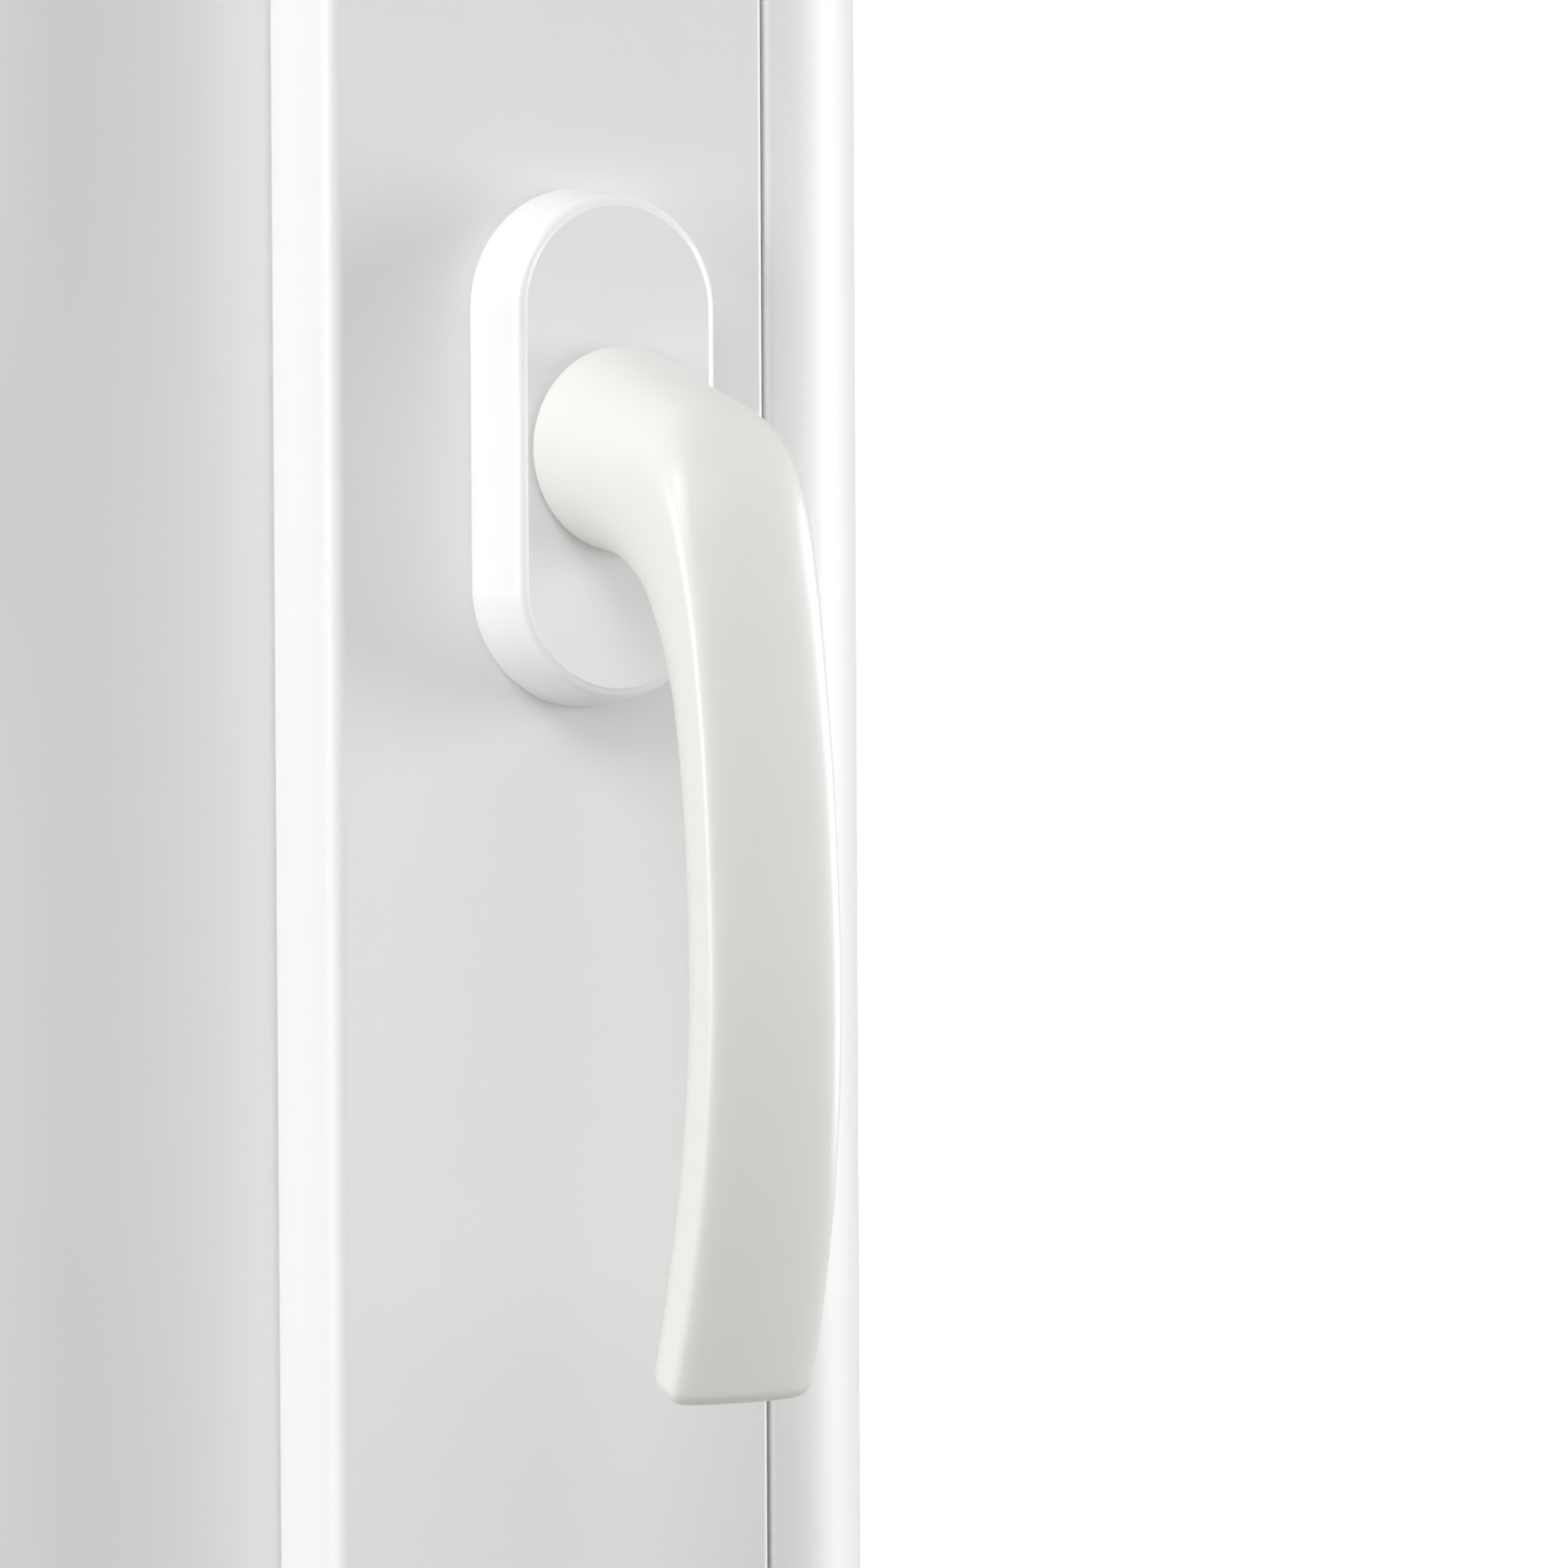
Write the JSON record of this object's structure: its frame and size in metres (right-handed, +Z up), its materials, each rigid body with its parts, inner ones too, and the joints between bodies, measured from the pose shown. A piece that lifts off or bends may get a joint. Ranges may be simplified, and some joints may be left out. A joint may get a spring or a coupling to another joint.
{
  "type": "casement window",
  "caption": "White plastic casement window opening inwards: hollow outer frame, sash with lip and glazing beads, sealed glass, two side hinges and a lever handle that drives a locking rod.",
  "frame": {"origin": "middle of the outer frame's underside, at half the frame's depth", "axes": "+Z up, +X to the right seen from the room, -Y into the room, +Y to the outside"},
  "size_m": [0.8, 0.1435, 1.2],
  "materials": {
    "white_pvc": "smooth white window plastic with a soft sheen",
    "white_lacquer": "white powder coat, satin",
    "grey_seal": "light grey sealing rubber, matt",
    "galvanised_steel": "galvanised",
    "zinc_plate": "bright zinc plate",
    "clear_glass": "clear float glass",
    "spacer_aluminium": "mill finish",
    "black_sealant": "matt black sealant",
    "packer_plastic": "blue moulded packer"
  },
  "bodies": {
    "frame": {"frame_jamb_left": "white_pvc", "frame_jamb_right": "white_pvc", "frame_head": "white_pvc", "frame_sill": "white_pvc", "frame_steel_jambs": "galvanised_steel", "frame_steel_rails": "galvanised_steel", "frame_stop_gasket": "grey_seal", "drain_caps": "white_pvc", "striker_top": "zinc_plate", "striker_middle": "zinc_plate", "striker_bottom": "zinc_plate", "striker_screws": "zinc_plate", "hinge_frame_leaf_top": "white_lacquer", "hinge_frame_leaf_bottom": "white_lacquer", "hinge_pin_top": "zinc_plate", "hinge_pin_bottom": "zinc_plate", "hinge_frame_covers": "white_lacquer", "hinge_frame_screws": "zinc_plate"},
    "sash": {"sash_stile_left": "white_pvc", "sash_stile_right": "white_pvc", "sash_rail_top": "white_pvc", "sash_rail_bottom": "white_pvc", "bead_left": "white_pvc", "bead_right": "white_pvc", "bead_top": "white_pvc", "bead_bottom": "white_pvc", "sash_overlap_gasket": "grey_seal", "glazing_gasket": "grey_seal", "bead_gasket": "grey_seal", "sash_steel_stiles": "galvanised_steel", "sash_steel_rails": "galvanised_steel", "hinge_sash_screws": "zinc_plate", "faceplate": "zinc_plate", "faceplate_screws": "zinc_plate", "gear_case": "zinc_plate", "rosette_base": "zinc_plate", "handle_screws": "zinc_plate", "rosette_cover": "white_lacquer", "hinge_sash_leaf_top": "white_lacquer", "hinge_sash_leaf_bottom": "white_lacquer", "hinge_sash_covers": "white_lacquer", "pane_inner": "clear_glass", "pane_outer": "clear_glass", "spacer_bar": "spacer_aluminium", "edge_sealant": "black_sealant", "setting_blocks": "packer_plastic"},
    "handle": {"handle_lever": "white_lacquer", "handle_spindle": "zinc_plate", "handle_circlip": "galvanised_steel", "lock_pinion": "zinc_plate"},
    "drive_rod": {"drive_rod": "zinc_plate", "roller_pins": "zinc_plate"},
    "roller_top": {"roller_top": "zinc_plate"},
    "roller_middle": {"roller_middle": "zinc_plate"},
    "roller_bottom": {"roller_bottom": "zinc_plate"}
  },
  "joints": [
    {"name": "sash_swing", "type": "hinge", "parent": "frame", "child": "sash", "pos_m": [0.355, -0.0495, 0.6], "axis": [0, 0, 1], "range_deg": [0, 100]},
    {"name": "handle_turn", "type": "hinge", "parent": "sash", "child": "handle", "pos_m": [-0.3059, -0.0515, 0.6], "axis": [0, -1, 0], "range_deg": [0, 90]},
    {"name": "rod_slide", "type": "slide", "parent": "sash", "child": "drive_rod", "axis": [0, 0, 1], "range_m": [-0.0178, 0]},
    {"name": "roller_top_spin", "type": "hinge", "parent": "drive_rod", "child": "roller_top", "pos_m": [-0.3287, -0.022, 1.01], "axis": [1, 0, 0], "continuous": true},
    {"name": "roller_middle_spin", "type": "hinge", "parent": "drive_rod", "child": "roller_middle", "pos_m": [-0.3287, -0.022, 0.395], "axis": [1, 0, 0], "continuous": true},
    {"name": "roller_bottom_spin", "type": "hinge", "parent": "drive_rod", "child": "roller_bottom", "pos_m": [-0.3287, -0.022, 0.19], "axis": [1, 0, 0], "continuous": true}
  ],
  "couplings": [
    {"joint": "rod_slide", "follows": "handle_turn", "m_per_rad": -0.01125}
  ]
}
